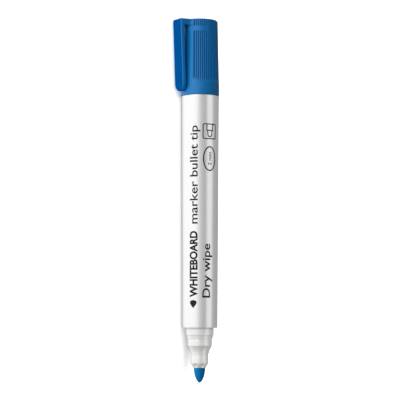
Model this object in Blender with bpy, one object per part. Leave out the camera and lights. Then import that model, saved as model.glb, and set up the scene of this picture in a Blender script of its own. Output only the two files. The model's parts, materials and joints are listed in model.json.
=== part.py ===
"""A felt tip whiteboard marker that lies on a table with its cap pushed onto the rear end.

Every turned piece is drawn upright on its own Z axis and placed by its station, which is its
distance from the nib's point along the pen. The empty "marker" then lays the pen down along X,
nib towards +X, rolled until the clip's corner touches the table at z = 0.
"""

import bmesh
import bpy
from math import acos, atan2, cos, hypot, pi, sin
from mathutils import Matrix, Vector

MM = 0.001
ROUND_SEGMENTS = 48
AXIS_RADIUS = 1e-6
GAP = 0.3 * MM

# The pen along its axis
LENGTH = 149.0 * MM
CAP_LENGTH = 31.5 * MM
CAP_MOUTH = LENGTH - CAP_LENGTH
BARREL_FRONT = 22.3 * MM
BARREL_REAR = CAP_MOUTH - GAP
HOLDER_LIP = 6.1 * MM
HOLDER_REAR = 33.0 * MM
RESERVOIR_FRONT = HOLDER_REAR + 0.5 * MM
RESERVOIR_REAR = 110.5 * MM
PLUG_FRONT = RESERVOIR_REAR + 0.5 * MM
PLUG_REAR = 126.5 * MM

# Nib: a pressed fibre rod with a bullet point
NIB_RADIUS = 2.3 * MM
NIB_LENGTH = 39.0 * MM
BULLET_LENGTH = 5.4 * MM
BULLET_POWER = 1.7
NIB_TAIL_LENGTH = 4.0 * MM
NIB_TAIL_RADIUS = 1.0 * MM

# Nib holder: the white front section
HOLDER_MOUTH_RADIUS = 2.4 * MM
HOLDER_BORE_RADIUS = NIB_RADIUS + GAP
HOLDER_SKIRT_BORE_RADIUS = 4.7 * MM
HOLDER_SKIRT_BORE_FRONT = 25.0 * MM

# Barrel
BARREL_FRONT_RADIUS = 7.3 * MM
BARREL_REAR_RADIUS = 7.78 * MM
BARREL_FRONT_BORE_RADIUS = 6.15 * MM
BARREL_REAR_BORE_RADIUS = 6.4 * MM

# Ink reservoir: a fibre bundle in a thin film sleeve
FIBRE_RADIUS = 5.25 * MM
FILM_BORE_RADIUS = FIBRE_RADIUS + GAP
FILM_RADIUS = FILM_BORE_RADIUS + 0.2 * MM

# End plug
PLUG_INSERT_RADIUS = BARREL_REAR_BORE_RADIUS - GAP
SPIGOT_RADIUS = 5.88 * MM
PLUG_WALL = 1.2 * MM
PLUG_ROUNDING = 0.6 * MM

# Cap and its inner cap, measured from the cap's mouth
CAP_LIP_RADIUS = 7.88 * MM
CAP_TOP_RADIUS = 7.22 * MM
CAP_END_THICKNESS = 1.6 * MM
CAP_CORNER = 0.5 * MM
CAP_GRIP_BORE_RADIUS = SPIGOT_RADIUS + GAP
CAP_GRIP_LENGTH = 10.8 * MM
CAP_DEEP_BORE_RADIUS = 5.8 * MM
INNER_CAP_FRONT = 11.4 * MM
INNER_CAP_REAR = CAP_LENGTH - CAP_END_THICKNESS - GAP
INNER_CAP_RADIUS = 5.4 * MM
INNER_CAP_FLANGE_RADIUS = 5.7 * MM
INNER_CAP_FLANGE_LENGTH = 1.2 * MM
INNER_CAP_BORE_RADIUS = 3.85 * MM
INNER_CAP_END_THICKNESS = 1.1 * MM

# Clip: a tongue that hangs from a bridge at the cap's closed end
CLIP_WIDTH = 6.8 * MM
CLIP_THICKNESS = 1.6 * MM
CLIP_CORNER = 0.5 * MM
CLIP_CORNER_STEPS = 3
CLIP_TOP_REACH = 11.15 * MM
CLIP_TIP_REACH = 9.95 * MM
CLIP_TIP = 1.6 * MM
BRIDGE_TOP = CAP_LENGTH - 0.2 * MM
BRIDGE_UNDERSIDE = BRIDGE_TOP - 2.5 * MM
BRIDGE_ROOT_REACH = 5.95 * MM
TONGUE_TOP = BRIDGE_UNDERSIDE - GAP
TONGUE_END_STEPS = 7


def clear_scene():
    for old in list(bpy.data.objects):
        bpy.data.objects.remove(old, do_unlink=True)


def material(name, colour, roughness, metallic=0.0):
    made = bpy.data.materials.new(name)
    made.use_nodes = True
    shader = made.node_tree.nodes["Principled BSDF"]
    shader.inputs["Base Color"].default_value = (*colour, 1.0)
    shader.inputs["Roughness"].default_value = roughness
    shader.inputs["Metallic"].default_value = metallic
    return made


def empty(name, parent=None, location=(0, 0, 0)):
    holder = bpy.data.objects.new(name, None)
    bpy.context.scene.collection.objects.link(holder)
    holder.empty_display_size = 5 * MM
    holder.parent = parent
    holder.location = location
    return holder


def finished(shape, name, parent, location, finish):
    """The bmesh as a named object with outward faces and smooth round sides."""
    bmesh.ops.recalc_face_normals(shape, faces=shape.faces)
    mesh = bpy.data.meshes.new(name)
    shape.to_mesh(mesh)
    shape.free()
    mesh.materials.append(finish)
    mesh.shade_smooth()
    mesh.set_sharp_from_angle(angle=pi / 6)
    piece = bpy.data.objects.new(name, mesh)
    bpy.context.scene.collection.objects.link(piece)
    piece.parent = parent
    piece.location = location
    return piece


def join_rings(shape, lower, upper):
    """Faces between two rings of points. A ring of one point is the tip of a cone."""
    count = max(len(lower), len(upper))
    for step in range(count):
        corners = [
            lower[step % len(lower)],
            lower[(step + 1) % count % len(lower)],
            upper[(step + 1) % count % len(upper)],
            upper[step % len(upper)],
        ]
        shape.faces.new(list(dict.fromkeys(corners)))


def turned(outline, is_tube=False):
    """A solid of revolution from (radius, height) points, as a bmesh.

    The outline runs from the axis to the axis, or closes on itself for a tube.
    """
    shape = bmesh.new()
    rings = []
    for radius, height in outline:
        if radius < AXIS_RADIUS:
            rings.append([shape.verts.new((0, 0, height))])
            continue
        angles = [2 * pi * step / ROUND_SEGMENTS for step in range(ROUND_SEGMENTS)]
        rings.append([shape.verts.new((radius * cos(a), radius * sin(a), height)) for a in angles])
    for lower, upper in zip(rings, rings[1:]):
        join_rings(shape, lower, upper)
    if is_tube:
        join_rings(shape, rings[-1], rings[0])
    return shape


def lofted(rings):
    """A solid through closed rings of points, flat at both ends, as a bmesh."""
    shape = bmesh.new()
    loops = [[shape.verts.new(point) for point in ring] for ring in rings]
    for lower, upper in zip(loops, loops[1:]):
        join_rings(shape, lower, upper)
    shape.faces.new(loops[0])
    shape.faces.new(loops[-1])
    return shape


def rounded_section(inner, outer, half_width, height):
    """A rectangle with round corners across the pen: X is the reach from the axis, Y the width."""
    corner = min(CLIP_CORNER, 0.45 * half_width)
    centres = (
        (outer - corner, half_width - corner, 0),
        (inner + corner, half_width - corner, pi / 2),
        (inner + corner, corner - half_width, pi),
        (outer - corner, corner - half_width, 3 * pi / 2),
    )
    ring = []
    for x, y, start in centres:
        for step in range(CLIP_CORNER_STEPS + 1):
            angle = start + pi / 2 * step / CLIP_CORNER_STEPS
            ring.append(Vector((x + corner * cos(angle), y + corner * sin(angle), height)))
    return ring


def make_nib(parent, finish):
    outline = [(0, 0)]
    bullet_steps = 12
    for step in range(1, bullet_steps + 1):
        # Even steps of angle, so the points crowd where the tip curves most
        share = 1 - cos(pi / 2 * step / bullet_steps)
        radius = NIB_RADIUS * (1 - (1 - share) ** BULLET_POWER) ** (1 / BULLET_POWER)
        outline.append((radius, share * BULLET_LENGTH))
    outline += [
        (NIB_RADIUS, NIB_LENGTH - NIB_TAIL_LENGTH),
        (NIB_TAIL_RADIUS, NIB_LENGTH),
        (0, NIB_LENGTH),
    ]
    return finished(turned(outline), "nib", parent, (0, 0, 0), finish)


def make_nib_holder(parent, finish):
    """The stepped front section: nose, nib tube, two cones with bands, and the skirt in the barrel."""
    outside_mm = [
        (2.70, 6.1),
        (3.59, 7.85),
        (3.67, 8.8),
        (3.60, 10.1),
        (3.54, 11.3),
        (3.84, 12.6),
        (4.88, 14.95),
        (4.99, 15.35),
        (5.08, 17.3),
        (5.63, 19.4),
        (5.75, 20.25),
        (5.79, 21.25),
        (5.74, 21.9),
        (5.74, 22.7),
        (5.85, 23.5),
    ]
    outline = [(radius * MM, station * MM - HOLDER_LIP) for radius, station in outside_mm]
    skirt_radius = outline[-1][0]
    skirt_front = HOLDER_SKIRT_BORE_FRONT - HOLDER_LIP
    outline += [
        (skirt_radius, HOLDER_REAR - HOLDER_LIP),
        (HOLDER_SKIRT_BORE_RADIUS, HOLDER_REAR - HOLDER_LIP),
        (HOLDER_SKIRT_BORE_RADIUS, skirt_front),
        (HOLDER_BORE_RADIUS, skirt_front),
        (HOLDER_BORE_RADIUS, 2 * MM),
        (HOLDER_MOUTH_RADIUS, 1 * MM),
        (HOLDER_MOUTH_RADIUS, 0),
    ]
    shape = turned(outline, is_tube=True)
    return finished(shape, "nib_holder", parent, (0, 0, HOLDER_LIP), finish)


def make_barrel(parent, finish):
    length = BARREL_REAR - BARREL_FRONT
    outline = [
        (BARREL_FRONT_RADIUS, 0),
        (BARREL_REAR_RADIUS, length),
        (BARREL_REAR_BORE_RADIUS, length),
        (BARREL_FRONT_BORE_RADIUS, 0),
    ]
    shape = turned(outline, is_tube=True)
    return finished(shape, "barrel", parent, (0, 0, BARREL_FRONT), finish)


def make_reservoir(parent, fibre_finish, film_finish):
    """The fibre bundle, with the socket that the nib's tail presses into, and its film sleeve."""
    length = RESERVOIR_REAR - RESERVOIR_FRONT
    socket_radius = NIB_RADIUS + GAP
    socket_straight = NIB_LENGTH - NIB_TAIL_LENGTH + GAP - RESERVOIR_FRONT
    socket_depth = NIB_LENGTH + GAP - RESERVOIR_FRONT
    outline = [
        (0, socket_depth),
        (NIB_TAIL_RADIUS + GAP, socket_depth),
        (socket_radius, socket_straight),
        (socket_radius, 0),
        (FIBRE_RADIUS, 0),
        (FIBRE_RADIUS, length),
        (0, length),
    ]
    place = (0, 0, RESERVOIR_FRONT)
    fibre = finished(turned(outline), "ink_reservoir", parent, place, fibre_finish)
    sleeve = [
        (FILM_RADIUS, 0),
        (FILM_RADIUS, length),
        (FILM_BORE_RADIUS, length),
        (FILM_BORE_RADIUS, 0),
    ]
    film = finished(turned(sleeve, is_tube=True), "reservoir_film", parent, place, film_finish)
    return fibre, film


def make_end_plug(parent, finish):
    """A cup pressed into the barrel's rear end. The cap grips its outer half when it is posted."""
    length = PLUG_REAR - PLUG_FRONT
    shoulder = BARREL_REAR - PLUG_FRONT
    cup_radius = SPIGOT_RADIUS - PLUG_WALL
    outline = [
        (0, length - PLUG_WALL),
        (cup_radius, length - PLUG_WALL),
        (cup_radius, 0),
        (PLUG_INSERT_RADIUS, 0),
        (PLUG_INSERT_RADIUS, shoulder),
        (SPIGOT_RADIUS, shoulder),
        (SPIGOT_RADIUS, length - PLUG_ROUNDING),
        (SPIGOT_RADIUS - PLUG_ROUNDING, length),
        (0, length),
    ]
    return finished(turned(outline), "end_plug", parent, (0, 0, PLUG_FRONT), finish)


def make_inner_cap(parent, finish):
    """The white liner that seals round the nib holder's tube when the pen is capped."""
    length = INNER_CAP_REAR - INNER_CAP_FRONT
    floor = length - INNER_CAP_END_THICKNESS
    lead_in = 0.4 * MM
    outline = [
        (0, floor),
        (INNER_CAP_BORE_RADIUS, floor),
        (INNER_CAP_BORE_RADIUS, lead_in),
        (INNER_CAP_BORE_RADIUS + lead_in, 0),
        (INNER_CAP_FLANGE_RADIUS, 0),
        (INNER_CAP_FLANGE_RADIUS, INNER_CAP_FLANGE_LENGTH),
        (INNER_CAP_RADIUS, INNER_CAP_FLANGE_LENGTH),
        (INNER_CAP_RADIUS, length),
        (0, length),
    ]
    return finished(turned(outline), "inner_cap", parent, (0, 0, INNER_CAP_FRONT), finish)


def clip_reach(height):
    """How far the clip's outer face stands from the pen's axis at a height above the cap's mouth."""
    share = (height - CLIP_TIP) / (CAP_LENGTH - CLIP_TIP)
    return CLIP_TIP_REACH + share * (CLIP_TOP_REACH - CLIP_TIP_REACH)


def make_bridge(parent, finish):
    """The block that joins the clip to the cap's closed end."""
    heights = (BRIDGE_UNDERSIDE, BRIDGE_TOP - CAP_CORNER, BRIDGE_TOP)
    insets = (0, 0, CAP_CORNER)
    rings = []
    for height, inset in zip(heights, insets):
        half_width = CLIP_WIDTH / 2 - inset
        rings.append(rounded_section(BRIDGE_ROOT_REACH, CLIP_TOP_REACH - inset, half_width, height))
    bridge = finished(lofted(rings), "bridge_form", parent, (0, 0, 0), finish)
    bridge.hide_render = True
    bridge.display_type = "WIRE"
    return bridge


def make_cap_shell(parent, finish):
    outside_mm = [
        (7.55, 0.0),
        (7.88, 0.35),
        (7.88, 1.0),
        (7.85, 5.3),
        (7.69, 8.8),
        (7.54, 16.4),
        (7.40, 24.0),
    ]
    outline = [(radius * MM, height * MM) for radius, height in outside_mm]
    lead_in = 0.3 * MM
    outline += [
        (CAP_TOP_RADIUS, CAP_LENGTH - CAP_CORNER),
        (CAP_TOP_RADIUS - CAP_CORNER, CAP_LENGTH),
        (0, CAP_LENGTH),
    ]
    bore = [
        (0, CAP_LENGTH - CAP_END_THICKNESS),
        (CAP_DEEP_BORE_RADIUS, CAP_LENGTH - CAP_END_THICKNESS),
        (CAP_GRIP_BORE_RADIUS - 0.1 * MM, CAP_GRIP_LENGTH),
        (CAP_GRIP_BORE_RADIUS, CAP_GRIP_LENGTH),
        (CAP_GRIP_BORE_RADIUS, lead_in),
        (CAP_GRIP_BORE_RADIUS + lead_in, 0),
    ]
    shell = finished(turned(bore + outline), "cap_shell", parent, (0, 0, 0), finish)
    union = shell.modifiers.new("bridge", "BOOLEAN")
    union.operation = "UNION"
    union.object = make_bridge(parent, finish)
    return shell


def make_clip(parent, finish):
    """The tongue with its round free end. Its origin is on the axis that it flexes about."""
    half = CLIP_WIDTH / 2
    end_centre = CLIP_TIP + half
    # The first angle is a little above zero, because the very end of the round has no width
    angles = [pi / 2 * (step + 0.4) / TONGUE_END_STEPS for step in range(TONGUE_END_STEPS)]
    sections = [(end_centre - half * cos(angle), half * sin(angle)) for angle in angles]
    sections += [(end_centre, half), (TONGUE_TOP, half)]
    rings = []
    for height, half_width in sections:
        outer = clip_reach(height) - CLIP_TOP_REACH
        inner = outer - CLIP_THICKNESS
        rings.append(rounded_section(inner, outer, half_width, height - BRIDGE_UNDERSIDE))
    return finished(lofted(rings), "clip", parent, (0, 0, 0), finish)


def resting_roll():
    """The angle from straight down to the clip, with the clip's corner and the cap's lip on the table."""
    reach = CLIP_TOP_REACH - CLIP_CORNER
    side = CLIP_WIDTH / 2 - CLIP_CORNER
    return acos((CAP_LIP_RADIUS - CLIP_CORNER) / hypot(reach, side)) + atan2(side, reach)


def lay_down(marker):
    """Places the pen's empty: nib to +X, clip rolled down to the table, box centred on the origin."""
    roll = resting_roll()
    pen_axis = Vector((-1, 0, 0))
    to_clip = Vector((0, -sin(roll), -cos(roll)))
    across = pen_axis.cross(to_clip)
    front_reach = (CLIP_TOP_REACH - CLIP_CORNER) * sin(roll) + CLIP_CORNER
    front_reach += (CLIP_WIDTH / 2 - CLIP_CORNER) * cos(roll)
    centre_y = (front_reach - CAP_LIP_RADIUS) / 2
    turn = Matrix((to_clip, across, pen_axis)).transposed().to_4x4()
    marker.matrix_world = Matrix.Translation((LENGTH / 2, centre_y, CAP_LIP_RADIUS)) @ turn


def main():
    clear_scene()
    blue = (0.002, 0.093, 0.376)
    cap_finish = material("cap_blue", blue, 0.34)
    pearl = material("barrel_pearl", (0.74, 0.75, 0.76), 0.32, metallic=0.25)
    white = material("white_plastic", (0.87, 0.87, 0.85), 0.4)
    felt = material("blue_felt", (0.006, 0.21, 0.56), 0.9)
    fibre = material("inked_fibre", (0.01, 0.08, 0.42), 0.95)
    film = material("clear_film", (0.8, 0.83, 0.86), 0.2)

    marker = empty("marker")
    make_nib(marker, felt)
    make_nib_holder(marker, white)
    make_barrel(marker, pearl)
    make_reservoir(marker, fibre, film)
    make_end_plug(marker, cap_finish)

    cap_slide = empty("cap_slide", marker, (0, 0, CAP_MOUTH))
    make_inner_cap(cap_slide, white)
    make_cap_shell(cap_slide, cap_finish)
    clip_root = empty("clip_root", cap_slide, (CLIP_TOP_REACH, 0, BRIDGE_UNDERSIDE))
    make_clip(clip_root, cap_finish)
    lay_down(marker)


main()
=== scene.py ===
"""The looks of a whiteboard marker that lies on a pale table, its cap posted on the rear end.

Every piece is drawn on the pen's own axes, in metres. A station is the distance from the nib's
point along the pen, a height is the distance from the cap's mouth towards its closed end, and an
angle turns about the pen from the clip's direction. PEN turns those axes into the frame.
"""

import json
from math import cos, hypot, pi, radians, sin, sqrt

import bmesh
import bpy
import numpy as np
from mathutils import Matrix, Vector


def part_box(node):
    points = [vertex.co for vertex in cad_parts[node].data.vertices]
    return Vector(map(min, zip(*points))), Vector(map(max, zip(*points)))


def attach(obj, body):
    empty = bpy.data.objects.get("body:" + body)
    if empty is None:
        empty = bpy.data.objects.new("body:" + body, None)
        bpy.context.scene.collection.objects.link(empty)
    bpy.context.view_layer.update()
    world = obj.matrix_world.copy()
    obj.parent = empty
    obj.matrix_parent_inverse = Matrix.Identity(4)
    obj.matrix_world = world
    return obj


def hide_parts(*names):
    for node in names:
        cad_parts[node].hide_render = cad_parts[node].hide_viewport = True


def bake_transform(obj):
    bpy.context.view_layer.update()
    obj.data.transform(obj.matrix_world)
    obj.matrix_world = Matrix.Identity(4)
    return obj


MM = 0.001
TURN_STEPS = 168
SHARP_ANGLE = radians(38)

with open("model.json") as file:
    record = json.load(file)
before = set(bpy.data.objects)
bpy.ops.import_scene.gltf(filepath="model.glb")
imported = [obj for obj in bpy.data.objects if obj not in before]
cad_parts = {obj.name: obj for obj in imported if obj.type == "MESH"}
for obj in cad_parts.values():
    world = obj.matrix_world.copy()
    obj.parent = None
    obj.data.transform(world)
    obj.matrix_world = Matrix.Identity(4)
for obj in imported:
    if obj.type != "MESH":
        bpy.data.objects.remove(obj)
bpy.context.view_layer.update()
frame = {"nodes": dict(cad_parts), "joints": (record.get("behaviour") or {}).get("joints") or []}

# ---------------- places read from the frame

BARREL_LOW, BARREL_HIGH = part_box("barrel")
HOLDER_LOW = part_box("nib_holder")[0]
NIB_LOW, NIB_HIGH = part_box("nib")
PLUG_LOW, PLUG_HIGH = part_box("end_plug")
INNER_CAP_LOW, INNER_CAP_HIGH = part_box("inner_cap")
CAP_LOW, CAP_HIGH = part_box("cap_shell")

NIB_POINT_X = NIB_HIGH.x
AXIS_Y = (BARREL_LOW.y + BARREL_HIGH.y) / 2
AXIS_Z = (BARREL_LOW.z + BARREL_HIGH.z) / 2
LENGTH = NIB_POINT_X - CAP_LOW.x
CAP_MOUTH = NIB_POINT_X - CAP_HIGH.x
CAP_LENGTH = LENGTH - CAP_MOUTH
BARREL_FRONT = NIB_POINT_X - BARREL_HIGH.x
BARREL_REAR = NIB_POINT_X - BARREL_LOW.x
PLUG_REAR = NIB_POINT_X - PLUG_LOW.x
PLUG_FRONT = NIB_POINT_X - PLUG_HIGH.x
NIB_LENGTH = NIB_POINT_X - NIB_LOW.x
HOLDER_REAR = NIB_POINT_X - HOLDER_LOW.x
INNER_CAP_FRONT = NIB_POINT_X - INNER_CAP_HIGH.x
INNER_CAP_REAR = NIB_POINT_X - INNER_CAP_LOW.x

CLIP_JOINT = next(joint for joint in frame["joints"] if joint["name"] == "clip_flex")
CLIP_PIVOT = Vector(CLIP_JOINT["pos_m"])
TO_CLIP = Vector((0, CLIP_PIVOT.y - AXIS_Y, CLIP_PIVOT.z - AXIS_Z)).normalized()
PEN_AXIS = Vector((-1, 0, 0))
ACROSS = PEN_AXIS.cross(TO_CLIP)
PEN = Matrix.Translation((NIB_POINT_X, AXIS_Y, AXIS_Z)) @ Matrix(
    (TO_CLIP, ACROSS, PEN_AXIS)
).transposed().to_4x4()

# The photograph looks at the pen from 60 degrees round from the clip
VIEW_ANGLE = radians(60)

# ---------------- sizes of the fine shapes

BARREL_FRONT_RADIUS = 7.30 * MM
BARREL_REAR_RADIUS = 7.78 * MM
BARREL_BORE_RADIUS = 5.98 * MM
BARREL_SEAT = CAP_MOUTH - 0.06 * MM

NIB_RADIUS = 2.3 * MM
BULLET_LENGTH = 5.4 * MM
BULLET_POWER = 1.7

HOLDER_BORE_MM = 2.36
NOSE_FRONT = 6.05 * MM
NOSE_REAR = 7.86 * MM
NOSE_MOUTH_RADIUS = 2.46 * MM
VENT_COUNT = 6
VENT_HALF_ANGLE = radians(13)
VENT_DEPTH = 0.55 * MM
FIRST_VENT = VIEW_ANGLE - radians(34)

CAP_LIP_RADIUS = 7.88 * MM
CAP_BORE_RADIUS = 6.3 * MM
CAP_DEEP_BORE_RADIUS = 5.8 * MM
CAP_END_THICKNESS = 1.6 * MM
CAP_END_ROUNDING = 0.85 * MM
CREST_HEIGHTS_MM = (0.0, 4.4, 7.4, 16.4, 24.0, 30.4)
CREST_RADII_MM = (7.88, 7.85, 7.73, 7.54, 7.40, 7.26)
RIB_COUNT = 43
RIB_STEPS = 10
RIB_DEPTH = 0.45 * MM
RIBS_START = 4.4 * MM
RIBS_RUN_OUT = 3.0 * MM
SMOOTH_HALF_ANGLE = radians(42)
SMOOTH_STEPS = 18
STRIP_LOW = 26.4 * MM
STRIP_HIGH = 28.7 * MM
STRIP_NEAR = radians(27)
STRIP_FAR = radians(86)
STRIP_DEPTH = 0.27 * MM
STRIP_CORNER = 0.45 * MM
GRIP_COUNT = 8
GRIP_HALF_ANGLE = radians(5)
GRIP_RADIUS = 5.97 * MM

CLIP_HALF_WIDTH = 3.4 * MM
CLIP_THICKNESS = 1.6 * MM
CLIP_TOP_REACH = 11.15 * MM
CLIP_TIP_REACH = 9.95 * MM
CLIP_TIP = 1.6 * MM
CLIP_TOP_CORNER = 0.5 * MM
BRIDGE_TOP = CAP_LENGTH - 0.12 * MM
BRIDGE_UNDERSIDE = BRIDGE_TOP - 2.5 * MM
BRIDGE_ROOT_REACH = 5.95 * MM
BRIDGE_FLARE_REACH = 7.6 * MM
BRIDGE_FILLET = 0.5 * MM
BRIDGE_UNDER_STEPS = 6
BEND_START = 7.92 * MM
BEND_END = 8.2 * MM

PRINT_HEIGHT = 0.012 * MM
PRINT_ROOT = 0.03 * MM
PRINT_STEP = 0.3 * MM
PRINT_LINE = 0.42 * MM
# A capital letter's height in the built-in font
FONT_CAPITAL = 0.729

# The studio's light away from its panels
SKY_FLOOR = 0.09


# ---------------- mesh tools


def link(name, mesh):
    made = bpy.data.objects.new(name, mesh)
    bpy.context.scene.collection.objects.link(made)
    return made


def shaded(mesh):
    """Faces outwards, smooth over round stretches and sharp over corners."""
    work = bmesh.new()
    work.from_mesh(mesh)
    bmesh.ops.recalc_face_normals(work, faces=work.faces)
    work.to_mesh(mesh)
    work.free()
    mesh.shade_smooth()
    mesh.set_sharp_from_angle(angle=SHARP_ANGLE)


def mesh_of(name, points, faces):
    mesh = bpy.data.meshes.new(name)
    mesh.from_pydata([tuple(point) for point in points], [], faces)
    mesh.update()
    return mesh


def skin(name, rings, is_loop=False):
    """A mesh through rings of points. A ring of one point closes an end."""
    points, starts, faces = [], [], []
    for around in rings:
        starts.append(len(points))
        points.extend(around)
    pairs = [(index, index + 1) for index in range(len(rings) - 1)]
    if is_loop:
        pairs.append((len(rings) - 1, 0))
    for first, second in pairs:
        sizes = len(rings[first]), len(rings[second])
        count = max(sizes)
        for step in range(count):
            after = (step + 1) % count
            corners = [
                starts[first] + step % sizes[0],
                starts[first] + after % sizes[0],
                starts[second] + after % sizes[1],
                starts[second] + step % sizes[1],
            ]
            faces.append(list(dict.fromkeys(corners)))
    return mesh_of(name, points, faces)


def on_pen(name, mesh):
    """The mesh as an object of the frame, moved from the pen's axes."""
    mesh.transform(PEN)
    shaded(mesh)
    return link(name, mesh)


def ring(radii, height, angles):
    return [(r * cos(a), r * sin(a), height) for r, a in zip(radii, angles)]


def rounded(corners, steps=4, is_loop=False):
    """The outline through (radius, height, rounding) corners, each one rounded by that length."""
    count = len(corners)
    outline = []
    for index, (radius, height, rounding) in enumerate(corners):
        here = Vector((radius, height))
        is_end = not is_loop and index in (0, count - 1)
        if is_end or not rounding:
            outline.append(tuple(here))
            continue
        before = Vector(corners[index - 1][:2]) - here
        after = Vector(corners[(index + 1) % count][:2]) - here
        start = here + before.normalized() * min(rounding, 0.48 * before.length)
        end = here + after.normalized() * min(rounding, 0.48 * after.length)
        for step in range(steps + 1):
            share = step / steps
            point = start * (1 - share) ** 2 + here * 2 * share * (1 - share) + end * share**2
            outline.append(tuple(point))
    return outline


def in_metres(corners_mm):
    return [tuple(value * MM for value in corner) for corner in corners_mm]


def turned(name, outline, is_tube=False, shape=None, steps=TURN_STEPS):
    """A solid of revolution. shape(radius, height, angle) may change a radius with the angle."""
    angles = [2 * pi * step / steps for step in range(steps)]
    rings = []
    for radius, height in outline:
        if radius < 1e-6:
            rings.append([(0, 0, height)])
            continue
        radii = [shape(radius, height, a) if shape else radius for a in angles]
        rings.append(ring(radii, height, angles))
    return on_pen(name, skin(name, rings, is_tube))


def ramp(value, low, high):
    """0 below low, 1 above high, and smooth between."""
    share = min(1.0, max(0.0, (value - low) / (high - low)))
    return share * share * (3 - 2 * share)


def barrel_radius(station):
    share = (station - BARREL_FRONT) / (BARREL_REAR - BARREL_FRONT)
    return BARREL_FRONT_RADIUS + share * (BARREL_REAR_RADIUS - BARREL_FRONT_RADIUS)


# ---------------- finishes


class Finish:
    """A Principled material and short ways to add procedural detail to it."""

    def __init__(self, name, colour, roughness):
        self.material = bpy.data.materials.new(name)
        self.material.use_nodes = True
        self.tree = self.material.node_tree
        self.shader = self.tree.nodes["Principled BSDF"]
        self.place = self.node("ShaderNodeTexCoord").outputs["Object"]
        self.set("Base Color", (*colour, 1.0))
        self.set("Roughness", roughness)

    def node(self, kind, **properties):
        made = self.tree.nodes.new(kind)
        for key, value in properties.items():
            setattr(made, key, value)
        return made

    def set(self, socket, value):
        """Sets one of the shader's inputs to a constant."""
        self.shader.inputs[socket].default_value = value

    def join(self, source, target):
        self.tree.links.new(source, target)

    def drive(self, socket, source):
        """Joins a node's output to one of the shader's inputs."""
        self.join(source, self.shader.inputs[socket])

    def stretched(self, scale):
        """The place on the piece, with each axis scaled."""
        mapping = self.node("ShaderNodeMapping")
        mapping.inputs["Scale"].default_value = scale
        self.join(self.place, mapping.inputs["Vector"])
        return mapping.outputs["Vector"]

    def noise(self, scale, detail=2.0, roughness=0.5, stretch=(1, 1, 1)):
        """Noise from 0 to 1. scale is in features per metre, before the stretch."""
        texture = self.node("ShaderNodeTexNoise")
        texture.inputs["Scale"].default_value = scale
        texture.inputs["Detail"].default_value = detail
        texture.inputs["Roughness"].default_value = roughness
        self.join(self.stretched(stretch), texture.inputs["Vector"])
        return texture.outputs["Fac"]

    def facing(self, axis):
        """How squarely the surface faces along an axis or away along it: 0 to 1."""
        lean = self.node("ShaderNodeVectorMath", operation="DOT_PRODUCT")
        self.join(self.node("ShaderNodeTexCoord").outputs["Normal"], lean.inputs[0])
        lean.inputs[1].default_value = axis
        return self.math("ABSOLUTE", lean.outputs["Value"])

    def blend(self, share, first, second):
        """A number between a constant and a source, by a share from 0 to 1."""
        node = self.node("ShaderNodeMix", data_type="FLOAT")
        self.join(share, node.inputs["Factor"])
        node.inputs["A"].default_value = first
        self.join(second, node.inputs["B"])
        return node.outputs["Result"]

    def cells(self, scale):
        """A colour that differs from cell to cell. scale is in cells per metre."""
        texture = self.node("ShaderNodeTexVoronoi", feature="F1")
        texture.inputs["Scale"].default_value = scale
        self.join(self.place, texture.inputs["Vector"])
        return texture.outputs["Color"]

    def span(self, source, low, high, start=0.0, end=1.0):
        """Maps start..end of the source to low..high."""
        node = self.node("ShaderNodeMapRange")
        node.inputs["From Min"].default_value = start
        node.inputs["From Max"].default_value = end
        node.inputs["To Min"].default_value = low
        node.inputs["To Max"].default_value = high
        self.join(source, node.inputs["Value"])
        return node.outputs["Result"]

    def math(self, operation, *sources):
        node = self.node("ShaderNodeMath", operation=operation)
        for source, socket in zip(sources, node.inputs):
            self.join(source, socket)
        return node.outputs["Value"]

    def dot(self, axis, origin):
        """How far a point lies along an axis from an origin, in metres."""
        away = self.node("ShaderNodeVectorMath", operation="SUBTRACT")
        self.join(self.place, away.inputs[0])
        away.inputs[1].default_value = origin
        along = self.node("ShaderNodeVectorMath", operation="DOT_PRODUCT")
        self.join(away.outputs["Vector"], along.inputs[0])
        along.inputs[1].default_value = axis
        return along.outputs["Value"]

    def mix(self, share, first, second):
        """A colour between two, by a share from 0 to 1."""
        node = self.node("ShaderNodeMix", data_type="RGBA")
        self.join(share, node.inputs["Factor"])
        for colour, socket in ((first, node.inputs["A"]), (second, node.inputs["B"])):
            if isinstance(colour, tuple):
                socket.default_value = (*colour, 1.0)
            else:
                self.join(colour, socket)
        return node.outputs["Result"]

    def bump(self, height, depth, under=None):
        """Relief of that depth in metres. under is a bump below this one."""
        node = self.node("ShaderNodeBump")
        node.inputs["Strength"].default_value = 1.0
        node.inputs["Distance"].default_value = depth
        self.join(height, node.inputs["Height"])
        if under:
            self.join(under, node.inputs["Normal"])
        self.drive("Normal", node.outputs["Normal"])
        return node.outputs["Normal"]


def pearl_finish():
    """Pearl-grey polypropylene: fine metallic flakes under a satin skin, with faint draw lines."""
    finish = Finish("pearl_barrel", (0.79, 0.79, 0.785), 0.3)
    finish.set("Metallic", 0.7)
    finish.set("Coat Weight", 0.35)
    finish.set("Coat Roughness", 0.22)
    flakes = finish.cells(9000)
    cloud = finish.span(finish.noise(160, detail=3), 0.0, 0.35)
    flake = finish.node("ShaderNodeSeparateColor")
    finish.join(flakes, flake.inputs["Color"])
    tint = finish.mix(flake.outputs["Red"], (0.79, 0.79, 0.787), (0.85, 0.85, 0.845))
    finish.drive("Base Color", finish.mix(cloud, tint, (0.82, 0.82, 0.815)))
    finish.drive("Roughness", finish.span(flake.outputs["Green"], 0.29, 0.33))
    lines = finish.noise(2600, detail=1, stretch=(0.012, 1, 1))
    skin_bump = finish.bump(lines, 0.0012 * MM)
    finish.bump(flake.outputs["Blue"], 0.0012 * MM, under=skin_bump)
    return finish.material


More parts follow.
